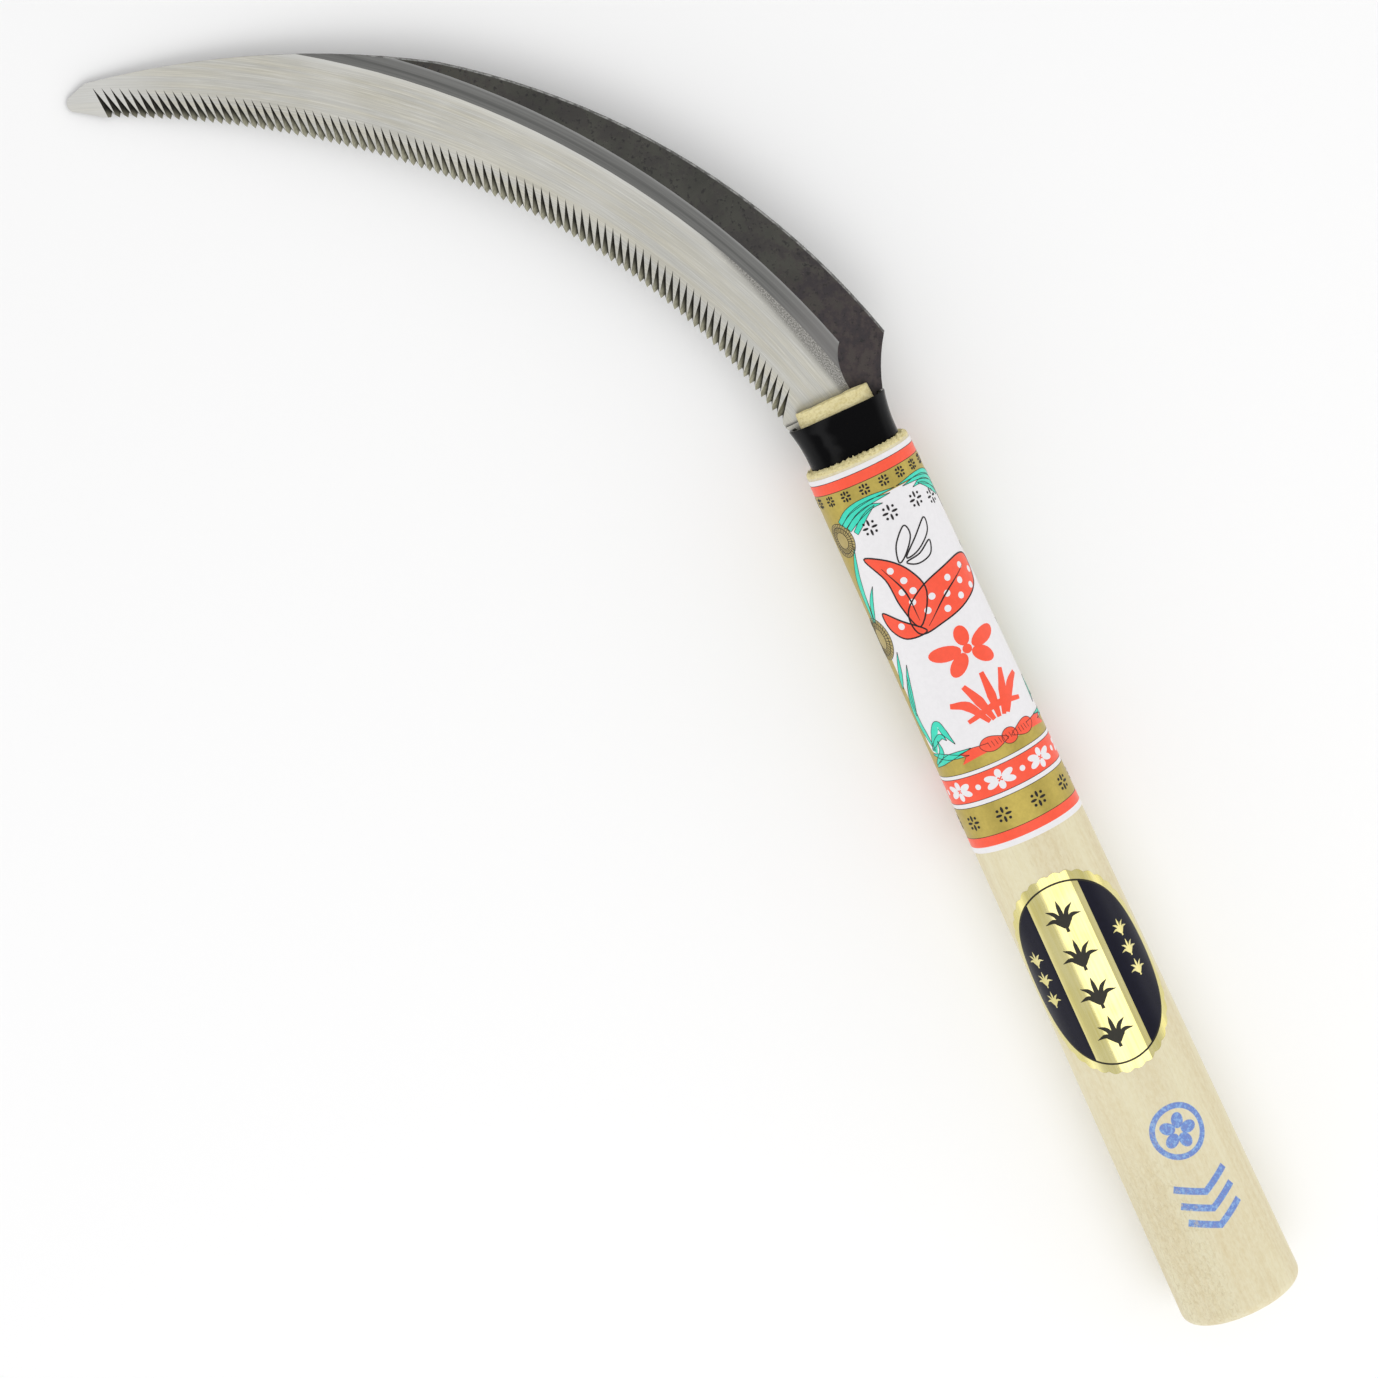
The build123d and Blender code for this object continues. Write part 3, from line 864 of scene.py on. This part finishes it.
def make_label():
    """The wrapped paper label and its print, layer by layer."""
    half = pi * LABEL_RADIUS
    paper = printed("label_white_paper", (0.825, 0.81, 0.825), 0.32, 0.97)
    stations = np.linspace(0, LABEL_LENGTH / MM, 60)
    columns = 180
    points = []
    rows = [(along, PAPER) for along in stations] + [(along, 0.005) for along in stations[::-1]]
    for along, lift in rows:
        points += [on_label(along, half * 2 * column / columns, lift) for column in range(columns)]
    faces = grid_faces(len(rows), columns)
    last = len(points) - columns
    faces += [(last + c, last + (c + 1) % columns, (c + 1) % columns, c) for c in range(columns)]
    piece = new_object("label_paper_wrap", points, faces, paper)
    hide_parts("paper_label")

    length = LABEL_LENGTH / MM
    seam = [(0.15, half - 3.0), (length - 0.15, half - 3.0), (length - 0.15, half + 3.0), (0.15, half + 3.0)]
    skin("label_paper_overlap", [seam], on_label, 0.1, PAPER * 2, paper)

    gold_ink = printed("label_gold_ink", (0.50, 0.39, 0.092), 0.36, 0.9, 0.6)
    red_ink = printed("label_red_ink", (0.96, 0.102, 0.05), 0.34, 0.95)
    dark_ink = printed("label_dark_ink", (0.022, 0.019, 0.020), 0.4, 0.8, 0.0, 0.2)
    teal_ink = printed("label_teal_ink", (0.048, 0.72, 0.52), 0.36, 0.92)
    pale_gold_ink = printed("label_pale_gold_ink", (0.47, 0.37, 0.14), 0.38, 0.88, 0.25)

    half_print = half - 3.2
    gold = [band(3.85, 75.9, half_print), band(84.3, 91.95, half_print)]
    red = [band(1.28, 3.85, half_print), band(76.9, 83.1, half_print), band(91.95, 94.4, half_print)]
    layer("label_gold_print", gold, 1, gold_ink)
    layer("label_red_print", red, 1, red_ink)
    rule_places = (1.3, 3.85, 75.9, 76.9, 83.1, 84.3, 91.95)
    rules = [band(place - 0.07, place + 0.07, half_print) for place in rule_places]
    layer("label_rule_lines", rules, 2, dark_ink)
    pale = []
    for girth in (-28.4, -17.3, -6.2, 4.9, 16.0, 27.1):
        pale += bloom((80.0, girth), (2.5, 4.0), 6, 0.0) + rosette((80.0, girth), 2.0)
        pale += [oval((80.0, girth - 5.5), (0.7, 0.7), 12)]
    layer("label_white_print", [label_window(), *pale], 2, paper)
    discs = mirrored([oval((15.2, -18.9), (4.2, 4.2), 32), oval((40.2, -22.0), (5.4, 4.8), 32)])
    layer("label_disc_print", discs, 3, pale_gold_ink)
    leaves = mirrored(label_leaves())
    layer("label_leaf_print", leaves, 4, teal_ink)
    ribbon = label_ribbon()
    layer("label_picture_print", [*label_spray(), *label_signs(), *ribbon], 5, red_ink)
    dots = [(31.4, 7.6), (33.6, 11.0), (34.4, 5.4), (32.4, 2.4), (35.6, 0.6), (36.8, 8.4), (37.6, 3.8)]
    dots += [(38.8, -0.8), (34.6, -3.0), (37.2, -5.2), (28.6, -7.4), (31.0, -8.9), (31.6, -6.4)]
    dots += [(34.0, -7.6), (25.4, -9.4), (38.4, -12.6)]
    spots = [oval(dot, (0.82, 0.85), 14) for dot in dots]
    layer("label_dot_print", spots + label_twigs(), 6, paper)

    lines = [shape for outline in leaves + ribbon + discs for shape in edging(outline, 0.13)]
    lines += [shape for outline in label_spray() + label_twigs() for shape in edging(outline, 0.36)]
    veins = [[(40.6, -6.4), (35.4, 0.4), (31.6, 8.8)], [(38.6, -7.8), (31.0, -8.2), (24.2, -11.2)]]
    lines += [stroke(vein, (0.1, 0.45, 0.1)) for vein in veins]
    for outline in discs:
        for share in (0.78, 0.5):
            lines += edging(shrunk(outline, share), 0.14)
        rays = zip(shrunk(outline, 0.54), shrunk(outline, 0.95))
        lines += [stroke(ray, (0.12, 0.12), 1) for ray in rays]
    for girth in (-26.5, -21.7, -16.8, -11.9, -6.9, -1.9, 2.8, 7.6, 12.5, 17.4, 22.3):
        lines += rosette((5.6, girth), 2.7, 1.3)
    for along, girth in ((14.3, -9.5), (12.9, -3.7), (12.9, 3.7), (14.3, 9.5)):
        lines += rosette((along, girth), 3.9)
    for girth in (-26.0, -17.4, -8.8, -0.2, 8.4, 17.0, 25.6):
        lines += rosette((88.1, girth), 3.9, 1.1)
    for girth in np.linspace(-5.4, 5.4, 13):
        lines.append(stroke([(71.0, girth), (72.4, girth + 0.25)], (0.1, 0.1), 2))
    layer("label_dark_print", lines, 7, dark_ink)


# ---------------------------------------------------------------- foil seal

SEAL_TURN = radians(-6.0)
SEAL_HALF = (24.9, 18.9)
FOIL = 0.08


def on_seal(along, girth, lift):
    """A point on the seal, from its middle, with a crease that runs the length of the foil."""
    crease = 0.11 * exp(-(((girth - 4.6) / 0.4) ** 2))
    x = SEAL_CENTRE - along * MM
    return on_handle(x, SEAL_TURN + girth * MM / handle_radius(SEAL_CENTRE), lift + crease)


def scalloped(half, count, depth, points_each):
    """An oval outline with small scallops."""
    outline = []
    for number in range(count * points_each):
        angle = 2 * pi * number / (count * points_each)
        reach = depth * sin(pi * (number % points_each) / points_each)
        outline.append(((half[0] + reach) * cos(angle), (half[1] + reach) * sin(angle)))
    return outline


def oval_part(half, start, end, count=40):
    """The part of an oval between two lengthwise lines, at girths start and end."""
    sides = []
    for sign in (-1, 1):
        line = []
        for girth in np.linspace(start, end, count):
            reach = half[0] * max(0.0, 1 - (girth / half[1]) ** 2) ** 0.5
            line.append((sign * reach, float(girth)))
        sides.append(line)
    if abs(end) >= half[1] or abs(start) >= half[1]:
        tip = -1 if abs(end) >= half[1] else 0
        sides[1].pop(tip)
    return sides[0] + sides[1][::-1]


def make_seal():
    """The scalloped gold foil seal, with an oval line, two dark panels and generic ornaments."""
    foil = gold_foil()
    navy = printed("seal_navy_ink", (0.006, 0.006, 0.016), 0.25, 0.8, 0.0, 0.18)
    black = printed("seal_black_ink", (0.022, 0.020, 0.012), 0.3, 0.8, 0.0, 0.25)
    piece = skin("seal_foil_sheet", [scalloped(SEAL_HALF, 40, 0.55, 8)], on_seal, 0.004, FOIL, foil, 0.4)
    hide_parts("foil_seal")

    inner = (22.9, 17.3)
    stripe = (-7.7, 6.2)
    panels = [oval_part(inner, -inner[1], stripe[0]), oval_part(inner, stripe[1], inner[1])]
    panel = skin("seal_panel_ink", panels, on_seal, FOIL - 0.03, FOIL + 0.012, navy, 0.4)
    marks = edging(oval((0, 0), inner, 96), 0.45)
    for place in (-15.2, -5.2, 4.8, 14.8):
        marks += leaf_fan((place, -0.7), 9.2)
    mark = skin("seal_ornament_ink", marks, on_seal, FOIL - 0.025, FOIL + 0.022, black, 0.4)
    bright = []
    for place in (-6.4, -1.2, 4.0):
        bright += leaf_fan((place, 11.4), 4.9)
        bright += leaf_fan((place - 0.6, -12.2), 4.9)
    gilt = skin("seal_gilt_ornaments", bright, on_seal, FOIL - 0.02, FOIL + 0.024, foil, 0.4)


# ---------------------------------------------------------------- blade


# The tooth grooves lie this near the toothed edge, and beyond this place along the handle's line.
GROOVE_REACH = 9.0
GROOVE_START = 11.0


def finish_blade():
    """Gives each face of the blade the finish of the surface it lies on."""
    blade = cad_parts["blade"]
    finishes = [ground_steel(), hollow_steel(), forged_steel(), rubbed_steel()]
    finishes += [groove_steel(), groove_floor_steel(), back_steel()]
    bevel, hollow, forged, rubbed, groove, groove_floor, back = range(7)
    mesh = blade.data
    mesh.materials.clear()
    for material in finishes:
        mesh.materials.append(material)
    turn = Matrix.Rotation(LIE_ANGLE, 3, "X")
    top = BLADE_THICKNESS / 2 / MM - 0.01
    for face in mesh.polygons:
        place = turn @ face.center / MM
        facing = (turn @ face.normal).z
        across = hypot(place.x - GRIND_CENTRE[0] / MM, place.y - GRIND_CENTRE[1] / MM) - GRIND_RADIUS / MM
        if facing > 0.95 and place.z > top and (place.y < PAD_EDGE or across > HOLLOW_END):
            finish = forged
        elif facing > 0.95:
            finish = bevel if across < BEVEL_WIDTH else hollow
        elif facing < -0.95:
            finish = back
        elif across < GROOVE_REACH and place.x > GROOVE_START:
            finish = groove_floor if 0.75 < facing else groove
        elif 0.4 < facing < 0.9:
            finish = rubbed
        else:
            finish = forged
        face.material_index = finish


def finish_pin():
    """The hidden nail through the tang."""
    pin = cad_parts["tang_pin"]
    m = Material("pin_steel_finish", Metallic=0.9, Roughness=0.4)
    wear = m.noise(m.position(), 0.8, 4, 0.6)
    m.set("Base Color", m.mix(wear, (0.18, 0.17, 0.16), (0.32, 0.31, 0.30)))
    m.bump(wear, 0.02 * MM)
    pin.data.materials.clear()
    pin.data.materials.append(m.material)


# ---------------------------------------------------------------- studio


def make_floor():
    """The pale table the sickle lies on."""
    height = cad_box[0][2] - 0.02 * MM
    reach = 6.0
    square = ((-reach, -reach), (reach, -reach), (reach, reach), (-reach, reach))
    corners = [(x, y, height) for x, y in square]
    mesh = bpy.data.meshes.new("studio_floor")
    mesh.from_pydata(corners, [], [(0, 1, 2, 3)])
    mesh.materials.append(floor_paint())
    floor = bpy.data.objects.new("studio_floor", mesh)
    bpy.context.scene.collection.objects.link(floor)


def make_light():
    """Soft white light from all round, brighter near the horizon, and one large panel beyond the butt."""
    world = bpy.data.worlds.new("studio_world")
    bpy.context.scene.world = world
    world.use_nodes = True
    nodes = world.node_tree.nodes
    links = world.node_tree.links
    direction = nodes.new("ShaderNodeTexCoord")
    parts = nodes.new("ShaderNodeSeparateXYZ")
    level = nodes.new("ShaderNodeMapRange")
    level.interpolation_type = "SMOOTHSTEP"
    for name, value in (("From Min", 0.12), ("From Max", 0.5), ("To Min", 1.40), ("To Max", 0.75)):
        level.inputs[name].default_value = value
    links.new(direction.outputs["Generated"], parts.inputs[0])
    links.new(parts.outputs["Z"], level.inputs["Value"])
    nodes["Background"].inputs["Color"].default_value = (1, 1, 1, 1)
    links.new(level.outputs[0], nodes["Background"].inputs["Strength"])

    light = bpy.data.lights.new("overhead_panel", "AREA")
    light.shape = "RECTANGLE"
    light.size = 1.5
    light.size_y = 1.5
    light.energy = 8.4
    panel = bpy.data.objects.new("overhead_panel", light)
    panel.location = (-1.05, 0.03, 1.2)
    bpy.context.scene.collection.objects.link(panel)


CAMERA_PLACE = (0.1268, 0.0582, 1.0560)
CAMERA_TILT = radians(8.65)
CAMERA_TURN = radians(-115.1)
LENS_MM = 120
SENSOR_MM = 36


def make_camera():
    """Sees the sickle from above, with its blade at the top and its butt at the lower right."""
    lens = bpy.data.cameras.new("main_camera")
    lens.lens = LENS_MM
    lens.sensor_width = SENSOR_MM
    camera = bpy.data.objects.new("main_camera", lens)
    turn = Matrix.Rotation(CAMERA_TILT, 4, "Y") @ Matrix.Rotation(CAMERA_TURN, 4, "Z")
    camera.matrix_world = Matrix.Translation(CAMERA_PLACE) @ turn
    bpy.context.scene.collection.objects.link(camera)
    bpy.context.scene.camera = camera


finish_blade()
finish_pin()
wood = pale_wood()
sawn = sawn_wood()
make_handle(wood, sawn)
make_tongue("handle_tongue_top", 1, sawn)
make_tongue("handle_tongue_under", -1, sawn)
make_stamp(pale_wood("stamped_wood", (0.075, 0.18, 0.58)))
make_ferrule(black_paint())
make_label()
make_seal()
make_floor()
make_light()
make_camera()
bpy.context.scene.view_settings.view_transform = "Standard"
